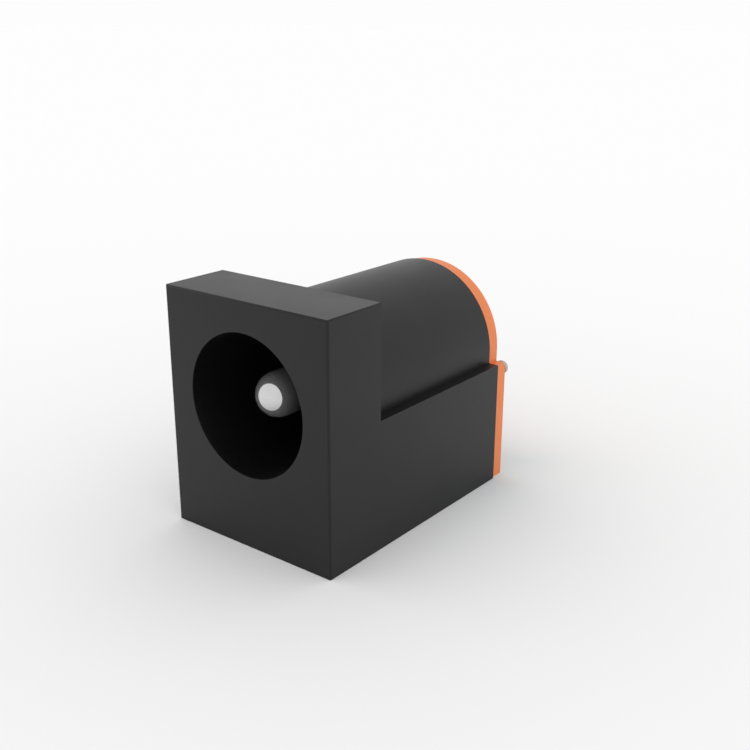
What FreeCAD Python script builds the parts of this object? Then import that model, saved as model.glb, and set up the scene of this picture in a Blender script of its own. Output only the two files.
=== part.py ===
import FreeCAD, Part
import math
import os

# A board-mounted barrel jack for a 5.5 mm power plug: a moulded housing with a round socket,
# a centre pin riveted through a rear cover, a sleeve spring and a switch contact.
# Millimetres. X runs to the right seen from the mouth, the mouth faces -Y and Z is up.
# The origin is the middle of the underside's bounding box.
# While it is being built, the mouth face lies at y = 0 and y is the depth behind it.

V = FreeCAD.Vector
ACROSS = V(1, 0, 0)
BACK = V(0, 1, 0)

# Housing, outside
WIDTH = 9.0
FLANGE_DEPTH = 3.3
FLANGE_ABOVE_BARREL = 0.5
BODY_LENGTH = 12.5
SHOULDER_BELOW_AXIS = 0.55
BARREL_WALL = 0.85
EDGE_R = 0.08

# Plug socket, closed by a web at the rear
SOCKET_HEIGHT = 6.5
SOCKET_R = 3.15
WEB_THICKNESS = 2.5
MOUTH_ROUND = 0.04

# Rear cover, a little smaller all round than the housing's rear
COVER_THICKNESS = 0.86
COVER_INSET = 0.11
COVER_CORNER_SHARE = 0.5
COVER_EDGE_R = 0.04

# Centre pin, turned, with its tail swaged over behind the terminal
PIN_R = 1.0
PIN_SETBACK = 0.93
TAIL_R = 0.7
SWAGE_R = 1.2
SWAGE_RIM = 0.15
SWAGE_RISE = 0.4

# Centre terminal, a strip behind the cover with a foot at board level
TERMINAL_THICKNESS = 0.4
TERMINAL_WIDTH = 2.4
TERMINAL_EYE_R = 1.6
TERMINAL_BEND_R = 0.45
TERMINAL_FOOT = 0.64

# Sleeve spring and switch contact, stamped from one gauge of strip
STRIP_THICKNESS = 0.25
SPRING_WIDTH = 2.4
SPRING_BEND_R = 0.45
SPRING_BASE_HEIGHT = 0.6
SPRING_BASE_LENGTH = 2.0
SPRING_JOGGLE = 0.45
SPRING_FOOT = 1.4
SPRING_ARM_HEIGHT = 1.75
SPRING_CREST_BEFORE_WEB = 2.3
SPRING_CREST_R = 0.6
SPRING_HEEL_BEFORE_WEB = 0.4
SPRING_LAP = 1.0
PLUG_R = 2.75
SPRING_BITE = 0.4
SWITCH_SETBACK = 0.4
SWITCH_REAR_GAP = 0.3
SWITCH_END_GAP = 0.4

# Contact chamber in the underside, open to the board and to the rear
CHAMBER_LENGTH = 8.2
CHAMBER_HEIGHT = 3.1
CHAMBER_SIDE_GAP = 0.3
RAIL_DEPTH = 0.35
WINDOW_SETBACK = 0.9
WINDOW_SIDE_GAP = 0.15

# Cover rivets, set in from the shoulders' corners
RIVET_INSET = 0.38
RIVET_DROP = 0.42
RIVET_SHANK_R = 0.15
RIVET_GRIP = 1.4
RIVET_HEAD_R = 0.3
RIVET_HEAD_HEIGHT = 0.2
RIVET_HEAD_ROUND = 0.08

# Clearances between pieces
HOLE_CLEARANCE = 0.05
RIVET_CLEARANCE = 0.02
STRIP_CLEARANCE = 0.05

# Depths, widths and heights that follow from the sizes above
HALF_WIDTH = WIDTH / 2
BARREL_R = SOCKET_R + BARREL_WALL
FLANGE_HEIGHT = SOCKET_HEIGHT + BARREL_R + FLANGE_ABOVE_BARREL
SHOULDER_HEIGHT = SOCKET_HEIGHT - SHOULDER_BELOW_AXIS
SHOULDER_WIDTH = HALF_WIDTH - math.sqrt(BARREL_R**2 - SHOULDER_BELOW_AXIS**2)
COVER_CORNER_R = COVER_CORNER_SHARE * SHOULDER_WIDTH
SOCKET_DEPTH = BODY_LENGTH - WEB_THICKNESS
COVER_REAR = BODY_LENGTH + COVER_THICKNESS
TERMINAL_REAR = COVER_REAR + TERMINAL_THICKNESS
SWAGE_REAR = TERMINAL_REAR + SWAGE_RIM + SWAGE_RISE
OVERALL_LENGTH = max(TERMINAL_REAR + TERMINAL_FOOT, SWAGE_REAR)
TO_ORIGIN = V(0, -OVERALL_LENGTH / 2, 0)
CREST_HEIGHT = SOCKET_HEIGHT - PLUG_R + SPRING_BITE
CHAMBER_FRONT = BODY_LENGTH - CHAMBER_LENGTH
CHAMBER_HALF_WIDTH = SPRING_WIDTH / 2 + CHAMBER_SIDE_GAP
RAIL_HALF_WIDTH = CHAMBER_HALF_WIDTH + RAIL_DEPTH
SWITCH_START = SOCKET_DEPTH + SWITCH_SETBACK
SWITCH_WIDTH = WEB_THICKNESS - SWITCH_SETBACK - SWITCH_REAR_GAP
SWITCH_BEND_R = STRIP_THICKNESS / 2 + 2 * STRIP_CLEARANCE
RIVET_X = HALF_WIDTH - RIVET_INSET
RIVET_HEIGHT = SHOULDER_HEIGHT - RIVET_DROP
SAME_PLACE = 1e-6


def block(half_width, front, rear, bottom, top):
    """A block centred on x = 0, between two depths and two heights."""
    corner = V(-half_width, front, bottom)
    return Part.makeBox(2 * half_width, rear - front, top - bottom, corner)


def rod(radius, front, rear, x=0.0, height=SOCKET_HEIGHT):
    """A cylinder along the depth."""
    return Part.makeCylinder(radius, rear - front, V(x, front, height), BACK)


def turned(edges):
    """A solid of revolution about the socket's axis, from a closed profile at x >= 0."""
    profile = Part.Face(Part.Wire(edges))
    return profile.revolve(V(0, 0, SOCKET_HEIGHT), BACK, 360)


def bent_path(points, radii):
    """Straight runs through the points, joined by tangent arcs of the given radii."""
    edges = []
    start = points[0]
    for before, corner, after, radius in zip(points, points[1:], points[2:], radii):
        back = (before - corner).normalize()
        ahead = (after - corner).normalize()
        half_angle = back.getAngle(ahead) / 2
        tangent = radius / math.tan(half_angle)
        to_centre = (back + ahead).normalize()
        middle = corner + to_centre * (radius / math.sin(half_angle) - radius)
        arc_start = corner + back * tangent
        arc_end = corner + ahead * tangent
        edges.append(Part.LineSegment(start, arc_start).toShape())
        edges.append(Part.Arc(arc_start, middle, arc_end).toShape())
        start = arc_end
    edges.append(Part.LineSegment(start, points[-1]).toShape())
    return Part.Wire(edges)


def bent_strip(points, radii, thickness, width_vector):
    """Strip metal that follows the path on its middle plane, swept across its width."""
    path = bent_path(points, radii)
    along = (points[1] - points[0]).normalize()
    side = along.cross(width_vector).normalize() * (thickness / 2)
    start = points[0] - width_vector / 2
    corners = [start - side, start + side, start + side + width_vector, start - side + width_vector]
    section = Part.makePolygon(corners + corners[:1])
    sweep = Part.BRepOffsetAPI.MakePipeShell(path)
    sweep.setFrenetMode(False)
    sweep.add(section)
    sweep.build()
    sweep.makeSolid()
    return sweep.shape()


def d_block(front, rear, inset=0.0):
    """The body's section between two depths: a block up to the shoulders and the barrel above."""
    base = block(HALF_WIDTH - inset, front, rear, 0, SHOULDER_HEIGHT - inset)
    return base.fuse(rod(BARREL_R - inset, front, rear)).removeSplitter()


def at(low, high, place):
    """Whether a span has no length and lies at the place."""
    return abs(low - place) < SAME_PLACE and abs(high - place) < SAME_PLACE


def is_outer_edge(edge):
    """Whether an edge is one of the housing's exposed outer corners, away from the rear face."""
    span = edge.BoundBox
    on_side = at(abs(span.XMin), abs(span.XMax), HALF_WIDTH) and span.XLength < SAME_PLACE
    on_mouth = at(span.YMin, span.YMax, 0)
    on_flange_rear = at(span.YMin, span.YMax, FLANGE_DEPTH)
    on_top = at(span.ZMin, span.ZMax, FLANGE_HEIGHT)
    on_base = at(span.ZMin, span.ZMax, 0)
    on_shoulder = at(span.ZMin, span.ZMax, SHOULDER_HEIGHT)
    if on_side:
        return on_mouth or on_flange_rear or on_top or on_base or on_shoulder
    return (on_mouth and (on_top or on_base)) or (on_top and on_flange_rear)


def is_shoulder_corner(edge, side):
    """Whether an edge runs along the depth at a side and not at the bottom."""
    span = edge.BoundBox
    return at(abs(span.XMin), abs(span.XMax), side) and span.ZLength < SAME_PLACE and span.ZMin > 0


def housing_outside():
    """Front flange, body block and barrel, moulded as one with slightly rounded corners."""
    flange = block(HALF_WIDTH, 0, FLANGE_DEPTH, 0, FLANGE_HEIGHT)
    solid = flange.fuse(d_block(FLANGE_DEPTH, BODY_LENGTH)).removeSplitter()
    return solid.makeFillet(EDGE_R, [edge for edge in solid.Edges if is_outer_edge(edge)])


def socket_cut():
    """The round socket with a rounded mouth, and the tail's hole through the web behind it."""
    bore = rod(SOCKET_R, 0, SOCKET_DEPTH)
    flare = Part.makeCylinder(SOCKET_R + MOUTH_ROUND, MOUTH_ROUND, V(0, 0, SOCKET_HEIGHT), BACK)
    lip = Part.makeTorus(SOCKET_R + MOUTH_ROUND, MOUTH_ROUND, V(0, MOUTH_ROUND, SOCKET_HEIGHT), BACK)
    tail_hole = rod(TAIL_R + HOLE_CLEARANCE, SOCKET_DEPTH, BODY_LENGTH)
    return bore.fuse(flare.cut(lip)).fuse(tail_hole)


def chamber_cut():
    """The contact chamber, its window into the socket and the rails for the spring's wings."""
    chamber = block(CHAMBER_HALF_WIDTH, CHAMBER_FRONT, BODY_LENGTH, 0, CHAMBER_HEIGHT)
    window_half_width = SPRING_WIDTH / 2 + WINDOW_SIDE_GAP
    window_front = CHAMBER_FRONT + WINDOW_SETBACK
    window = block(window_half_width, window_front, SOCKET_DEPTH, CHAMBER_HEIGHT / 2, SOCKET_HEIGHT)
    half_slot = STRIP_THICKNESS / 2 + STRIP_CLEARANCE
    slot_bottom = SPRING_BASE_HEIGHT - half_slot
    slot_top = SPRING_BASE_HEIGHT + half_slot
    rails = block(RAIL_HALF_WIDTH, CHAMBER_FRONT, BODY_LENGTH, slot_bottom, slot_top)
    return chamber.fuse(window).fuse(rails)


def switch_cut():
    """The slot through the left wall and the recess outside it, both open to the rear."""
    front = SWITCH_START - STRIP_CLEARANCE
    depth = BODY_LENGTH - front
    slot_height = STRIP_THICKNESS + STRIP_CLEARANCE
    slot = Part.makeBox(HALF_WIDTH, depth, slot_height, V(-HALF_WIDTH, front, CHAMBER_HEIGHT - slot_height))
    recess_depth = STRIP_THICKNESS + STRIP_CLEARANCE
    recess = Part.makeBox(recess_depth, depth, CHAMBER_HEIGHT, V(-HALF_WIDTH, front, 0))
    return slot.fuse(recess)


def rivet_holes(front, rear):
    """The two cover rivets' holes between two depths."""
    radius = RIVET_SHANK_R + RIVET_CLEARANCE
    return [rod(radius, front, rear, x, RIVET_HEIGHT) for x in (-RIVET_X, RIVET_X)]


def housing():
    """One black moulding."""
    solid = housing_outside()
    cuts = [socket_cut(), chamber_cut(), switch_cut()]
    cuts += rivet_holes(BODY_LENGTH - RIVET_GRIP - RIVET_CLEARANCE, BODY_LENGTH)
    return solid.cut(cuts).removeSplitter()


def rear_cover():
    """The plate that closes the housing's rear, with holes for the pin's tail and the rivets."""
    plate = d_block(BODY_LENGTH, COVER_REAR, COVER_INSET)
    side = HALF_WIDTH - COVER_INSET
    plate = plate.makeFillet(COVER_CORNER_R, [edge for edge in plate.Edges if is_shoulder_corner(edge, side)])
    rear_edges = [edge for edge in plate.Edges if at(edge.BoundBox.YMin, edge.BoundBox.YMax, COVER_REAR)]
    plate = plate.makeFillet(COVER_EDGE_R, rear_edges)
    cuts = [rod(TAIL_R + HOLE_CLEARANCE, BODY_LENGTH, COVER_REAR)]
    cuts += rivet_holes(BODY_LENGTH, COVER_REAR)
    return plate.cut(cuts)


def centre_pin():
    """A turned pin with a domed nose, a shoulder on the socket's floor and a swaged tail."""

    def point(radius, depth):
        return V(radius, depth, SOCKET_HEIGHT)

    nose_base = PIN_SETBACK + PIN_R
    diagonal = PIN_R * math.sqrt(0.5)
    rim_rear = TERMINAL_REAR + SWAGE_RIM
    corners = [
        point(PIN_R, nose_base),
        point(PIN_R, SOCKET_DEPTH),
        point(TAIL_R, SOCKET_DEPTH),
        point(TAIL_R, TERMINAL_REAR),
        point(SWAGE_R, TERMINAL_REAR),
        point(SWAGE_R, rim_rear),
    ]
    crown_r = (SWAGE_R**2 + SWAGE_RISE**2) / (2 * SWAGE_RISE)
    crown_mid = point(SWAGE_R / 2, SWAGE_REAR - crown_r + math.sqrt(crown_r**2 - SWAGE_R**2 / 4))
    edges = [Part.LineSegment(a, b).toShape() for a, b in zip(corners, corners[1:])]
    edges.append(Part.Arc(corners[-1], crown_mid, point(0, SWAGE_REAR)).toShape())
    edges.append(Part.LineSegment(point(0, SWAGE_REAR), point(0, PIN_SETBACK)).toShape())
    nose_mid = point(diagonal, nose_base - diagonal)
    edges.append(Part.Arc(point(0, PIN_SETBACK), nose_mid, corners[0]).toShape())
    return turned(edges)


def centre_terminal():
    """An eye under the swaged tail and a strip down to a foot that lies at board level."""
    middle = COVER_REAR + TERMINAL_THICKNESS / 2
    level = TERMINAL_THICKNESS / 2
    foot_end = TERMINAL_REAR + TERMINAL_FOOT
    points = [V(0, middle, SOCKET_HEIGHT), V(0, middle, level), V(0, foot_end, level)]
    strip = bent_strip(points, [TERMINAL_BEND_R], TERMINAL_THICKNESS, ACROSS * TERMINAL_WIDTH)
    eye = rod(TERMINAL_EYE_R, COVER_REAR, TERMINAL_REAR)
    hole = rod(TAIL_R + HOLE_CLEARANCE, COVER_REAR, TERMINAL_REAR)
    return strip.fuse(eye).removeSplitter().cut(hole)


def sleeve_spring():
    """A leaf folded back over its base: its crest stands in the socket, its tip under the switch."""
    level = STRIP_THICKNESS / 2
    fold = CHAMBER_FRONT + STRIP_CLEARANCE + level
    base_end = fold + SPRING_BASE_LENGTH
    foot_start = base_end + SPRING_JOGGLE
    crest = SOCKET_DEPTH - SPRING_CREST_BEFORE_WEB
    heel = SOCKET_DEPTH - SPRING_HEEL_BEFORE_WEB
    tip_height = CHAMBER_HEIGHT - STRIP_THICKNESS - level
    up = math.atan2(CREST_HEIGHT - level - SPRING_ARM_HEIGHT, crest - fold)
    down = math.atan2(CREST_HEIGHT - level - tip_height, heel - crest)
    crest_corner = CREST_HEIGHT - level + SPRING_CREST_R * (1 / math.cos((up + down) / 2) - 1)
    places = [
        (foot_start + SPRING_FOOT, level),
        (foot_start, level),
        (base_end, SPRING_BASE_HEIGHT),
        (fold, SPRING_BASE_HEIGHT),
        (fold, SPRING_ARM_HEIGHT),
        (crest, crest_corner),
        (heel, tip_height),
        (SWITCH_START + SPRING_LAP, tip_height),
    ]
    radii = [STRIP_THICKNESS, STRIP_THICKNESS, SPRING_BEND_R, SPRING_BEND_R, SPRING_CREST_R, SPRING_BEND_R]
    points = [V(0, depth, height) for depth, height in places]
    leaf = bent_strip(points, radii, STRIP_THICKNESS, ACROSS * SPRING_WIDTH)
    wing_bottom = SPRING_BASE_HEIGHT - level
    wing_top = SPRING_BASE_HEIGHT + level
    wing_reach = RAIL_HALF_WIDTH - STRIP_CLEARANCE
    wings = block(wing_reach, fold + SPRING_BEND_R, base_end - STRIP_THICKNESS, wing_bottom, wing_top)
    return leaf.fuse(wings).removeSplitter()


def switch_contact():
    """A fixed strip under the chamber's roof, led out to the left and down to board level."""
    middle = SWITCH_START + SWITCH_WIDTH / 2
    height = CHAMBER_HEIGHT - STRIP_THICKNESS / 2
    side = -HALF_WIDTH + STRIP_THICKNESS / 2
    inner_end = CHAMBER_HALF_WIDTH - SWITCH_END_GAP
    points = [V(inner_end, middle, height), V(side, middle, height), V(side, middle, 0)]
    return bent_strip(points, [SWITCH_BEND_R], STRIP_THICKNESS, BACK * SWITCH_WIDTH)


def cover_rivet(x):
    """A small headed pin through the cover into the housing's shoulder."""
    shank = rod(RIVET_SHANK_R, BODY_LENGTH - RIVET_GRIP, COVER_REAR, x, RIVET_HEIGHT)
    head = rod(RIVET_HEAD_R, COVER_REAR, COVER_REAR + RIVET_HEAD_HEIGHT, x, RIVET_HEIGHT)
    crown = [edge for edge in head.Edges if edge.BoundBox.YMin > COVER_REAR + SAME_PLACE]
    return shank.fuse(head.makeFillet(RIVET_HEAD_ROUND, crown))


def save(name, shape):
    """Writes one sub-part, moved from the mouth to the part's origin."""
    moved = shape.copy()
    moved.translate(TO_ORIGIN)
    moved.exportStep("parts/" + name + ".step")


os.makedirs("parts", exist_ok=True)
save("housing", housing())
save("rear_cover", rear_cover())
save("centre_pin", centre_pin())
save("centre_terminal", centre_terminal())
save("sleeve_spring", sleeve_spring())
save("switch_contact", switch_contact())
save("cover_rivet_left", cover_rivet(-RIVET_X))
save("cover_rivet_right", cover_rivet(RIVET_X))
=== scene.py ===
import math

import bmesh
import bpy
from mathutils import Matrix, Vector


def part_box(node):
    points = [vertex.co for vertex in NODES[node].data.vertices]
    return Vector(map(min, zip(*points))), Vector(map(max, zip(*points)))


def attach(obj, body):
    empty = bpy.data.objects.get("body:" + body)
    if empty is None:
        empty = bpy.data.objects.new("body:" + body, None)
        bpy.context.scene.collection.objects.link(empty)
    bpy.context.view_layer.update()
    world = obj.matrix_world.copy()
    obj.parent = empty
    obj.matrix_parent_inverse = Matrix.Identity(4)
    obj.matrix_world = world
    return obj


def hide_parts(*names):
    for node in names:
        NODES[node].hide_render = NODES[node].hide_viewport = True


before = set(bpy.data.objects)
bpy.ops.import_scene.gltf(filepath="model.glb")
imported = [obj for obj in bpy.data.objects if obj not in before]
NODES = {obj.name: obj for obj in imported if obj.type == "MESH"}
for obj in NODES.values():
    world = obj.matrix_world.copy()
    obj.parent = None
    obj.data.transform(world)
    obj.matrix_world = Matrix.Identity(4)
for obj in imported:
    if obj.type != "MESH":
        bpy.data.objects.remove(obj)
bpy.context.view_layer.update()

MM = 0.001
MICRON = 0.000001

# Camera, in millimetres in the part's frame
CAMERA_PLACE = (28.1536, -34.7183, 21.5107)
CAMERA_RIGHT = (0.788723, 0.614742, 0.002921)
CAMERA_UP = (-0.204509, 0.257901, 0.944279)
CAMERA_LENS = 48.7893
CAMERA_NEAR = 1.0
CAMERA_FAR = 10000.0

# Sizes in millimetres that the nodes' boxes don't give
FLANGE_DEPTH = 3.3
BARREL_R = 4.0
SHOULDER_BELOW_AXIS = 0.55
SOCKET_R = 3.15
WEB_THICKNESS = 2.5
PIN_R = 1.0
PIN_SETBACK = 1.0
TAIL_R = 0.7
SWAGE_R = 1.2
SWAGE_RIM = 0.15
SWAGE_RISE = 0.4
CHAMBER_LENGTH = 8.2
CHAMBER_HEIGHT = 3.1
CHAMBER_HALF_WIDTH = 1.5
RAIL_DEPTH = 0.35
RAIL_BOTTOM = 0.425
RAIL_TOP = 0.775
WINDOW_SETBACK = 0.9
WINDOW_HALF_WIDTH = 1.35
SWITCH_SETBACK = 0.35
SWITCH_SLOT = 0.3
COVER_CORNER_R = 0.27
RIVET_SHANK_R = 0.15
RIVET_HEAD_R = 0.34
RIVET_HEAD_ROUND = 0.08
HOLE_CLEARANCE = 0.05
RIVET_CLEARANCE = 0.02
FRONT_EDGE = 0.1
TOP_EDGE = 0.06
BASE_EDGE = 0.04
MOULDED_EDGE = 0.02
COVER_EDGE = 0.02
STRIP_EDGE = 0.03
PIN_EDGE = 0.03
NEAR = 0.001
OVERSHOOT = 1.0

# Finish: each material's colour, roughness and grain in cells per millimetre
BLACKS = ((0.003, 0.003, 0.003), (0.005, 0.005, 0.005))
BLACK_ROUGHNESS = (0.39, 0.43)
BLACK_GRAIN = 9.0
BLACK_CLOUD = 0.35
BLACK_IOR = 1.40
ORANGES = ((0.80, 0.215, 0.061), (0.84, 0.235, 0.071))
ORANGE_ROUGHNESS = (0.45, 0.55)
ORANGE_GRAIN = 8.0
PIN_NICKEL = (0.66, 0.66, 0.66)
PIN_ROUGHNESS = (0.08, 0.10)
PIN_METALLIC = 0.82
RIVET_NICKEL = (0.52, 0.48, 0.44)
STRIP_TIN = (0.68, 0.67, 0.64)
SATIN_ROUGHNESS = (0.25, 0.35)
METAL_SHADE = 0.94
METAL_GRAIN = 3.0
NOISE_LOW = 0.3
NOISE_HIGH = 0.7
BUMP_STRENGTH = 0.3

# Studio: the floor's white far off and its painted shadow near the part, the painted shade behind the
# orange cover, and the light
FLOOR_SIDE = 6000.0
# Painted shadow: the floor's colour next to the part, darker than far off
FLOOR_PAINTED_SHADE = (0.9, 0.9, 0.9)
FLOOR_FAR = (0.985, 0.985, 0.985)
FLOOR_PAINTED_SHADE_REACH = 20.0
# Painted shade behind the cover: darker, mostly in red, to cancel the cover's orange glow on the floor
COVER_PAINTED_SHADE = (0.79, 0.88, 0.90)
COVER_PAINTED_SHADE_DEPTH = 2.0
COVER_PAINTED_SHADE_FADE = 2.0
BACKDROP = 0.983
LIGHT_SIDE = (-0.5, -0.866, 0.0)
LIGHT_BIAS = 0.15

# Fineness of the round forms
TURN_STEPS = 128
ARC_STEP = 3.0
CROWN_STEPS = 12
EDGE_STEPS = 3
SHARP_ANGLE = 32.0


def node_box(node):
    """A node's lowest and highest corners in millimetres."""
    return [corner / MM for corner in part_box(node)]


housing_low, housing_high = node_box("housing")
cover_high = node_box("rear_cover")[1]
pin_low, pin_high = node_box("centre_pin")
MOUTH = housing_low.y
BODY_REAR = housing_high.y
HALF_WIDTH = housing_high.x
TOP = housing_high.z
AXIS_HEIGHT = (pin_low.z + pin_high.z) / 2
COVER_REAR = cover_high.y
COVER_INSET = HALF_WIDTH - cover_high.x
SOCKET_FLOOR = BODY_REAR - WEB_THICKNESS
SHOULDER = AXIS_HEIGHT - SHOULDER_BELOW_AXIS


def new_material(name):
    """A material with a Principled shader, and its node tree's parts."""
    material = bpy.data.materials.new(name)
    material.use_nodes = True
    tree = material.node_tree
    shader = tree.nodes["Principled BSDF"]
    return material, tree, shader


def noise(tree, scale, detail):
    """Noise in object coordinates, its scale in cells per millimetre."""
    place = tree.nodes.new("ShaderNodeTexCoord")
    node = tree.nodes.new("ShaderNodeTexNoise")
    node.inputs["Scale"].default_value = scale / MM
    node.inputs["Detail"].default_value = detail
    tree.links.new(place.outputs["Object"], node.inputs["Vector"])
    return node.outputs["Fac"]


def ranged(tree, value, low, high):
    """The middle of the noise's range mapped to a range of its own."""
    node = tree.nodes.new("ShaderNodeMapRange")
    node.inputs["From Min"].default_value = NOISE_LOW
    node.inputs["From Max"].default_value = NOISE_HIGH
    node.inputs["To Min"].default_value = low
    node.inputs["To Max"].default_value = high
    tree.links.new(value, node.inputs["Value"])
    return node.outputs["Result"]


def mixed(tree, value, one, other):
    """A colour between two colours."""
    node = tree.nodes.new("ShaderNodeMix")
    node.data_type = "RGBA"
    node.inputs["A"].default_value = (*one, 1)
    node.inputs["B"].default_value = (*other, 1)
    tree.links.new(value, node.inputs["Factor"])
    return node.outputs["Result"]


def multiplied(tree, one, other):
    """The product of two colours."""
    node = tree.nodes.new("ShaderNodeMix")
    node.data_type = "RGBA"
    node.blend_type = "MULTIPLY"
    node.inputs["Factor"].default_value = 1.0
    tree.links.new(one, node.inputs["A"])
    tree.links.new(other, node.inputs["B"])
    return node.outputs["Result"]


def bumped(tree, shader, value, height_um):
    """A fine bump, its height in micrometres."""
    node = tree.nodes.new("ShaderNodeBump")
    node.inputs["Strength"].default_value = BUMP_STRENGTH
    node.inputs["Distance"].default_value = height_um * MICRON
    tree.links.new(value, node.inputs["Height"])
    tree.links.new(node.outputs["Normal"], shader.inputs["Normal"])


def black_plastic():
    """Satin black, a little uneven in gloss, with a fine moulded grain."""
    material, tree, shader = new_material("moulded_black")
    grain = noise(tree, BLACK_GRAIN, detail=3.0)
    cloud = noise(tree, BLACK_CLOUD, detail=2.0)
    tree.links.new(mixed(tree, grain, *BLACKS), shader.inputs["Base Color"])
    tree.links.new(ranged(tree, cloud, *BLACK_ROUGHNESS), shader.inputs["Roughness"])
    bumped(tree, shader, grain, height_um=2.0)
    shader.inputs["IOR"].default_value = BLACK_IOR
    return material


def orange_plastic():
    """Matt orange with a moulded grain."""
    material, tree, shader = new_material("moulded_orange")
    grain = noise(tree, ORANGE_GRAIN, detail=3.0)
    tree.links.new(mixed(tree, grain, *ORANGES), shader.inputs["Base Color"])
    tree.links.new(ranged(tree, grain, *ORANGE_ROUGHNESS), shader.inputs["Roughness"])
    bumped(tree, shader, grain, height_um=3.0)
    return material


def metal(name, colour, roughness, metallic=1.0):
    """A plated metal, a little uneven in tone and gloss."""
    material, tree, shader = new_material(name)
    grain = noise(tree, METAL_GRAIN, detail=2.0)
    darker = tuple(part * METAL_SHADE for part in colour)
    tree.links.new(mixed(tree, grain, darker, colour), shader.inputs["Base Color"])
    tree.links.new(ranged(tree, grain, *roughness), shader.inputs["Roughness"])
    shader.inputs["Metallic"].default_value = metallic
    return material


def arc(centre, radius, start, end, steps=None):
    """Points along an arc between two angles in degrees."""
    steps = steps or math.ceil(abs(end - start) / ARC_STEP)
    angles = [math.radians(start + (end - start) * step / steps) for step in range(steps + 1)]
    across, up = centre
    return [(across + radius * math.cos(angle), up + radius * math.sin(angle)) for angle in angles]


def d_outline(inset=0.0, corner=0.0):
    """The body's outline seen from the mouth: sides, shoulders with round corners, and the barrel."""
    side = HALF_WIDTH - inset
    shoulder = SHOULDER - inset
    radius = BARREL_R - inset
    barrel = [(radius, shoulder)] + arc((0, AXIS_HEIGHT), radius, 0, 180) + [(-radius, shoulder)]
    right, left = [(side, shoulder)], [(-side, shoulder)]
    if corner:
        right = arc((side - corner, shoulder - corner), corner, 0, 90)
        left = arc((corner - side, shoulder - corner), corner, 90, 180)
    return [(side, 0)] + right + barrel + left + [(-side, 0)]


def new_piece(name, points, faces):
    """A piece from points in millimetres, its faces turned outwards."""
    shape = bmesh.new()
    vertices = [shape.verts.new(Vector(point) * MM) for point in points]
    for face in faces:
        shape.faces.new([vertices[index] for index in face])
    bmesh.ops.recalc_face_normals(shape, faces=shape.faces)
    mesh = bpy.data.meshes.new(name)
    shape.to_mesh(mesh)
    shape.free()
    piece = bpy.data.objects.new(name, mesh)
    bpy.context.scene.collection.objects.link(piece)
    return piece


def prism(name, outline, front, rear):
    """An outline in x and z, drawn out along the depth."""
    count = len(outline)
    points = [(x, depth, z) for depth in (front, rear) for x, z in outline]
    faces = [range(count), range(count, 2 * count)]
    faces += [(i, (i + 1) % count, (i + 1) % count + count, i + count) for i in range(count)]
    return new_piece(name, points, faces)


def block(name, half_width, front, rear, bottom, top):
    """A square block about the middle."""
    corners = [(half_width, bottom), (half_width, top), (-half_width, top), (-half_width, bottom)]
    return prism(name, corners, front, rear)


def turned(name, profile, x=0.0, height=None):
    """A profile of radius and depth, turned about an axis along the depth. Its ends have no radius."""
    height = AXIS_HEIGHT if height is None else height
    angles = [2 * math.pi * step / TURN_STEPS for step in range(TURN_STEPS)]
    points = [(x, profile[0][1], height)]
    for radius, depth in profile[1:-1]:
        ring = [(radius * math.cos(angle), radius * math.sin(angle)) for angle in angles]
        points += [(x + across, depth, height + up) for across, up in ring]
    points.append((x, profile[-1][1], height))
    last = len(points) - 1
    last_ring = last - TURN_STEPS
    faces = []
    for step in range(TURN_STEPS):
        after = (step + 1) % TURN_STEPS
        faces.append((0, 1 + step, 1 + after))
        faces.append((last, last_ring + step, last_ring + after))
        for ring in range(1, last_ring, TURN_STEPS):
            below = ring + TURN_STEPS
            faces.append((ring + step, ring + after, below + after, below + step))
    return new_piece(name, points, faces)


def cut(piece, tool):
    """Takes the tool's shape out of a piece."""
    modifier = piece.modifiers.new("cut", "BOOLEAN")
    modifier.object = tool
    modifier.operation = "DIFFERENCE"
    modifier.solver = "EXACT"
    graph = bpy.context.evaluated_depsgraph_get()
    mesh = bpy.data.meshes.new_from_object(piece.evaluated_get(graph))
    piece.modifiers.clear()
    piece.data = mesh
    bpy.data.objects.remove(tool)


def soften(piece, width_at):
    """Rounds the sharp outer edges, each by the width at its middle, and keeps the flat faces flat."""
    shape = bmesh.new()
    shape.from_mesh(piece.data)
    weights = shape.edges.layers.float.new("bevel_weight_edge")
    for edge in shape.edges:
        turn = edge.calc_face_angle_signed(0.0)
        if turn > math.radians(SHARP_ANGLE):
            middle = (edge.verts[0].co + edge.verts[1].co) / 2 / MM
            edge[weights] = width_at(middle) / FRONT_EDGE
        edge.smooth = abs(turn) < math.radians(SHARP_ANGLE)
    for face in shape.faces:
        face.smooth = True
    shape.to_mesh(piece.data)
    shape.free()
    bevel = piece.modifiers.new("edges", "BEVEL")
    bevel.width = FRONT_EDGE * MM
    bevel.segments = EDGE_STEPS
    bevel.limit_method = "WEIGHT"
    bevel.use_clamp_overlap = False
    normals = piece.modifiers.new("normals", "WEIGHTED_NORMAL")
    normals.keep_sharp = True


def housing_edge(place):
    """How widely a housing edge is rounded."""
    at_front = place.y < MOUTH + NEAR
    at_side = abs(place.x) > HALF_WIDTH - NEAR
    at_top = place.z > TOP - NEAR
    in_flange = place.y < MOUTH + FLANGE_DEPTH - NEAR
    if at_front and at_side:
        return FRONT_EDGE
    if at_top and in_flange:
        return TOP_EDGE
    if place.y > BODY_REAR - NEAR or abs(place.y - MOUTH - FLANGE_DEPTH) < NEAR:
        return 0.0
    if place.z < NEAR:
        return BASE_EDGE if at_front or at_side else 0.0
    return MOULDED_EDGE


def cover_edge(place):
    """The cover is rounded at its rear edges only."""
    return COVER_EDGE if place.y > COVER_REAR - NEAR else 0.0


def dress(piece, node, material):
    """Lets a piece stand for its node, and gives it its material."""
    piece.data.materials.clear()
    piece.data.materials.append(material)
    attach(piece, "root")
    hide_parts(node)


def hole(radius, front, rear, x=0.0, height=None):
    """A round tool along the depth."""
    profile = [(0, front), (radius, front), (radius, rear), (0, rear)]
    return turned("hole", profile, x, height)


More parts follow.
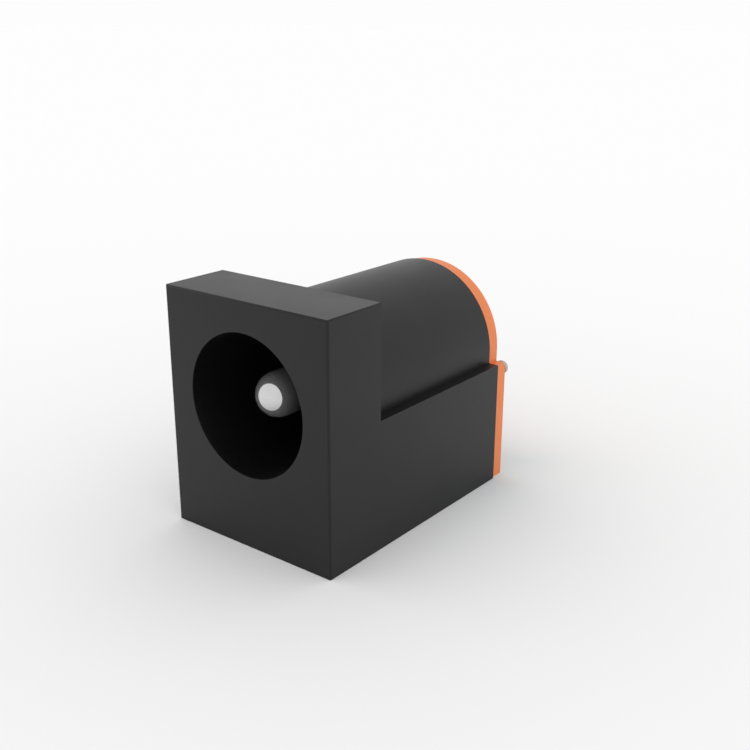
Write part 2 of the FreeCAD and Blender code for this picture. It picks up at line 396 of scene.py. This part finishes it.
def housing_outside():
    """The flange, and behind it the body and barrel, as one closed form."""
    outline = d_outline()
    count = len(outline)
    flange_rear = MOUTH + FLANGE_DEPTH
    points = [(x, depth, z) for depth in (flange_rear, BODY_REAR) for x, z in outline]
    right, left = 0, count - 1
    right_shoulder, left_shoulder = 1, count - 2
    base_left, base_right, top_right, top_left = range(2 * count, 2 * count + 4)
    rear_top_right, rear_top_left = range(2 * count + 4, 2 * count + 6)
    points += [(-HALF_WIDTH, MOUTH, 0), (HALF_WIDTH, MOUTH, 0)]
    points += [(HALF_WIDTH, MOUTH, TOP), (-HALF_WIDTH, MOUTH, TOP)]
    points += [(HALF_WIDTH, flange_rear, TOP), (-HALF_WIDTH, flange_rear, TOP)]
    faces = [(i, (i + 1) % count, (i + 1) % count + count, i + count) for i in range(count)]
    faces.append(range(count, 2 * count))
    faces.append((base_left, base_right, top_right, top_left))
    faces.append((base_left, base_right, right, left))
    faces.append((top_left, top_right, rear_top_right, rear_top_left))
    faces.append((base_right, right, right_shoulder, rear_top_right, top_right))
    faces.append((base_left, left, left_shoulder, rear_top_left, top_left))
    faces.append((rear_top_right, *range(right_shoulder, left_shoulder + 1), rear_top_left))
    return new_piece("housing_shell", points, faces)


def socket_tool():
    """The round socket and the tail's hole behind it."""
    tail_hole = TAIL_R + HOLE_CLEARANCE
    front = MOUTH - OVERSHOOT
    rear = BODY_REAR + OVERSHOOT
    profile = [(0, front), (SOCKET_R, front), (SOCKET_R, SOCKET_FLOOR)]
    profile += [(tail_hole, SOCKET_FLOOR), (tail_hole, rear), (0, rear)]
    return turned("socket", profile)


def chamber_tool():
    """The contact chamber with a rail slot in each side, open below and behind."""
    rail = CHAMBER_HALF_WIDTH + RAIL_DEPTH
    right = [(CHAMBER_HALF_WIDTH, -OVERSHOOT), (CHAMBER_HALF_WIDTH, RAIL_BOTTOM), (rail, RAIL_BOTTOM)]
    right += [(rail, RAIL_TOP), (CHAMBER_HALF_WIDTH, RAIL_TOP), (CHAMBER_HALF_WIDTH, CHAMBER_HEIGHT)]
    left = [(-x, z) for x, z in reversed(right)]
    return prism("chamber", right + left, BODY_REAR - CHAMBER_LENGTH, BODY_REAR + OVERSHOOT)


def window_tool():
    """The window from the chamber into the socket."""
    front = BODY_REAR - CHAMBER_LENGTH + WINDOW_SETBACK
    return block("window", WINDOW_HALF_WIDTH, front, SOCKET_FLOOR, CHAMBER_HEIGHT / 2, AXIS_HEIGHT)


def switch_tool():
    """The switch contact's slot through the left wall and its recess down the outside."""
    inner = -CHAMBER_HALF_WIDTH / 2
    outer = -HALF_WIDTH - OVERSHOOT
    wall = -HALF_WIDTH + SWITCH_SLOT
    slot_bottom = CHAMBER_HEIGHT - SWITCH_SLOT
    outline = [(inner, CHAMBER_HEIGHT), (outer, CHAMBER_HEIGHT), (outer, -OVERSHOOT)]
    outline += [(wall, -OVERSHOOT), (wall, slot_bottom), (inner, slot_bottom)]
    return prism("switch", outline, SOCKET_FLOOR + SWITCH_SETBACK, BODY_REAR + OVERSHOOT)


def rivet_place(side):
    """A rivet's x, height and the depths of its ends."""
    low, high = node_box("cover_rivet_" + side)
    return (low.x + high.x) / 2, (low.z + high.z) / 2, low.y, high.y


def build_housing(material):
    """The moulding: its outside less the socket, chamber, window, switch slot and rivet holes."""
    piece = housing_outside()
    for tool in (socket_tool(), chamber_tool(), window_tool(), switch_tool()):
        cut(piece, tool)
    for side in ("left", "right"):
        x, height, front, rear = rivet_place(side)
        radius = RIVET_SHANK_R + RIVET_CLEARANCE
        cut(piece, hole(radius, front - RIVET_CLEARANCE, BODY_REAR + OVERSHOOT, x, height))
    soften(piece, housing_edge)
    dress(piece, "housing", material)


def build_cover(material):
    """The rear plate, with holes for the pin's tail and the rivets."""
    piece = prism("cover_plate", d_outline(COVER_INSET, COVER_CORNER_R), BODY_REAR, COVER_REAR)
    cut(piece, hole(TAIL_R + HOLE_CLEARANCE, BODY_REAR - OVERSHOOT, COVER_REAR + OVERSHOOT))
    for side in ("left", "right"):
        x, height, front, rear = rivet_place(side)
        cut(piece, hole(RIVET_SHANK_R + RIVET_CLEARANCE, front, rear, x, height))
    soften(piece, cover_edge)
    dress(piece, "rear_cover", material)


def build_pin(material):
    """The turned pin: a round nose, a shoulder on the socket's floor, a tail and its swaged head."""
    nose = MOUTH + PIN_SETBACK + PIN_R
    rim = pin_high.y - SWAGE_RISE - SWAGE_RIM
    profile = arc((0, nose), PIN_R, -90, 0)
    profile += [(PIN_R, SOCKET_FLOOR - PIN_EDGE), (PIN_R - PIN_EDGE, SOCKET_FLOOR), (TAIL_R, SOCKET_FLOOR)]
    profile += [(TAIL_R, rim), (SWAGE_R - PIN_EDGE, rim), (SWAGE_R, rim + PIN_EDGE)]
    crown_r = (SWAGE_R**2 + SWAGE_RISE**2) / (2 * SWAGE_RISE)
    reach = math.degrees(math.asin(SWAGE_R / crown_r))
    profile += arc((0, pin_high.y - crown_r), crown_r, 90 - reach, 90, CROWN_STEPS)
    piece = turned("pin_turned", profile)
    shade_turned(piece)
    dress(piece, "centre_pin", material)


def shade_turned(piece):
    """Smooth along the curves and sharp at the turned shoulders."""
    for face in piece.data.polygons:
        face.use_smooth = True
    piece.data.set_sharp_from_angle(angle=math.radians(SHARP_ANGLE))


def build_rivet(side, material):
    """A small pin with a low head, round at both edges."""
    x, height, front, rear = rivet_place(side)
    flat = RIVET_HEAD_R - RIVET_HEAD_ROUND
    under = COVER_REAR + RIVET_HEAD_ROUND
    over = rear - RIVET_HEAD_ROUND
    profile = [(0, front), (RIVET_SHANK_R - PIN_EDGE, front), (RIVET_SHANK_R, front + PIN_EDGE)]
    profile += [(RIVET_SHANK_R, COVER_REAR)] + arc((flat, under), RIVET_HEAD_ROUND, -90, 0)
    profile += arc((flat, over), RIVET_HEAD_ROUND, 0, 90) + [(0, rear)]
    piece = turned("rivet_" + side, profile, x, height)
    shade_turned(piece)
    dress(piece, "cover_rivet_" + side, material)


def finish_strip(node, material):
    """A stamped strip with slightly rounded edges."""
    strip = NODES[node]
    strip.data.materials.clear()
    strip.data.materials.append(material)
    weld = strip.modifiers.new("weld", "WELD")
    weld.merge_threshold = NEAR * MM
    bevel = strip.modifiers.new("edges", "BEVEL")
    bevel.width = STRIP_EDGE * MM
    bevel.segments = EDGE_STEPS
    bevel.limit_method = "ANGLE"
    bevel.angle_limit = math.radians(SHARP_ANGLE)
    normals = strip.modifiers.new("normals", "WEIGHTED_NORMAL")
    normals.keep_sharp = True


def math_node(tree, operation, *values):
    """A math node's result from numbers and other results."""
    node = tree.nodes.new("ShaderNodeMath")
    node.operation = operation
    for socket, value in zip(node.inputs, values):
        if isinstance(value, (int, float)):
            socket.default_value = value
        else:
            tree.links.new(value, socket)
    return node.outputs["Value"]


def painted_shade_fade(tree, front, rear, reach):
    """The mask of a painted shade: 1 on a footprint as wide as the part, less with the distance from it.
    """
    place = tree.nodes.new("ShaderNodeTexCoord")
    axes = tree.nodes.new("ShaderNodeSeparateXYZ")
    tree.links.new(place.outputs["Object"], axes.inputs["Vector"])
    squares = []
    for axis, low, high in (("X", -HALF_WIDTH, HALF_WIDTH), ("Y", front, rear)):
        from_middle = math_node(tree, "SUBTRACT", axes.outputs[axis], (low + high) / 2 * MM)
        away = math_node(tree, "ABSOLUTE", from_middle)
        beyond = math_node(tree, "SUBTRACT", away, (high - low) / 2 * MM)
        squares.append(math_node(tree, "POWER", math_node(tree, "MAXIMUM", beyond, 0.0), 2.0))
    distance = math_node(tree, "SQRT", math_node(tree, "ADD", *squares))
    return math_node(tree, "EXPONENT", math_node(tree, "DIVIDE", distance, -reach * MM))


def floor_material():
    """White, with a painted shadow that darkens it towards the part, and a painted shade behind the cover,
    darker mostly in red, that cancels the cover's orange glow.
    """
    material, tree, shader = new_material("floor_white")
    # Painted shadow: the floor goes darker towards the part
    white = mixed(tree, painted_shade_fade(tree, MOUTH, -MOUTH, FLOOR_PAINTED_SHADE_REACH), FLOOR_FAR, FLOOR_PAINTED_SHADE)
    # Painted shade behind the cover, against the cover's orange glow
    cover_painted_shade = mixed(tree, painted_shade_fade(tree, COVER_REAR, COVER_REAR + COVER_PAINTED_SHADE_DEPTH, COVER_PAINTED_SHADE_FADE), (1, 1, 1), COVER_PAINTED_SHADE)
    tree.links.new(multiplied(tree, white, cover_painted_shade), shader.inputs["Base Color"])
    shader.inputs["Roughness"].default_value = 0.9
    shader.inputs["Specular IOR Level"].default_value = 0.0
    return material


def build_floor():
    side = FLOOR_SIDE / 2 * MM
    corners = [(-side, -side, 0), (side, -side, 0), (side, side, 0), (-side, side, 0)]
    mesh = bpy.data.meshes.new("floor")
    mesh.from_pydata(corners, [], [range(len(corners))])
    floor = bpy.data.objects.new("floor", mesh)
    bpy.context.scene.collection.objects.link(floor)
    mesh.materials.append(floor_material())


def build_world():
    """Even white light, slightly stronger from the front and the left, and a plain white backdrop."""
    world = bpy.data.worlds.new("studio")
    bpy.context.scene.world = world
    world.use_nodes = True
    tree = world.node_tree
    place = tree.nodes.new("ShaderNodeTexCoord")
    towards = tree.nodes.new("ShaderNodeVectorMath")
    towards.operation = "DOT_PRODUCT"
    towards.inputs[1].default_value = LIGHT_SIDE
    tree.links.new(place.outputs["Generated"], towards.inputs[0])
    light = math_node(tree, "MULTIPLY_ADD", towards.outputs["Value"], LIGHT_BIAS, 1.0)
    path = tree.nodes.new("ShaderNodeLightPath").outputs
    mirrored = math_node(tree, "MAXIMUM", path["Is Glossy Ray"], path["Is Transmission Ray"])
    seen = math_node(tree, "MAXIMUM", path["Is Camera Ray"], mirrored)
    backdrop = math_node(tree, "MULTIPLY", seen, BACKDROP)
    unseen = math_node(tree, "MULTIPLY", math_node(tree, "SUBTRACT", 1.0, seen), light)
    background = tree.nodes["Background"]
    background.inputs["Color"].default_value = (1, 1, 1, 1)
    tree.links.new(math_node(tree, "ADD", backdrop, unseen), background.inputs["Strength"])


def build_camera():
    data = bpy.data.cameras.new("camera")
    data.lens = CAMERA_LENS
    data.clip_start = CAMERA_NEAR * MM
    data.clip_end = CAMERA_FAR * MM
    camera = bpy.data.objects.new("camera", data)
    bpy.context.scene.collection.objects.link(camera)
    right = Vector(CAMERA_RIGHT)
    up = Vector(CAMERA_UP)
    turn = Matrix((right, up, right.cross(up))).transposed()
    camera.matrix_world = Matrix.Translation(Vector(CAMERA_PLACE) * MM) @ turn.to_4x4()
    bpy.context.scene.camera = camera


build_housing(black_plastic())
build_cover(orange_plastic())
build_pin(metal("bright_nickel", PIN_NICKEL, PIN_ROUGHNESS, PIN_METALLIC))
rivet_metal = metal("satin_nickel", RIVET_NICKEL, SATIN_ROUGHNESS)
for side in ("left", "right"):
    build_rivet(side, rivet_metal)
strip_metal = metal("satin_tin", STRIP_TIN, SATIN_ROUGHNESS)
for node in ("centre_terminal", "sleeve_spring", "switch_contact"):
    finish_strip(node, strip_metal)
build_floor()
build_world()
build_camera()
bpy.context.scene.view_settings.view_transform = "Standard"
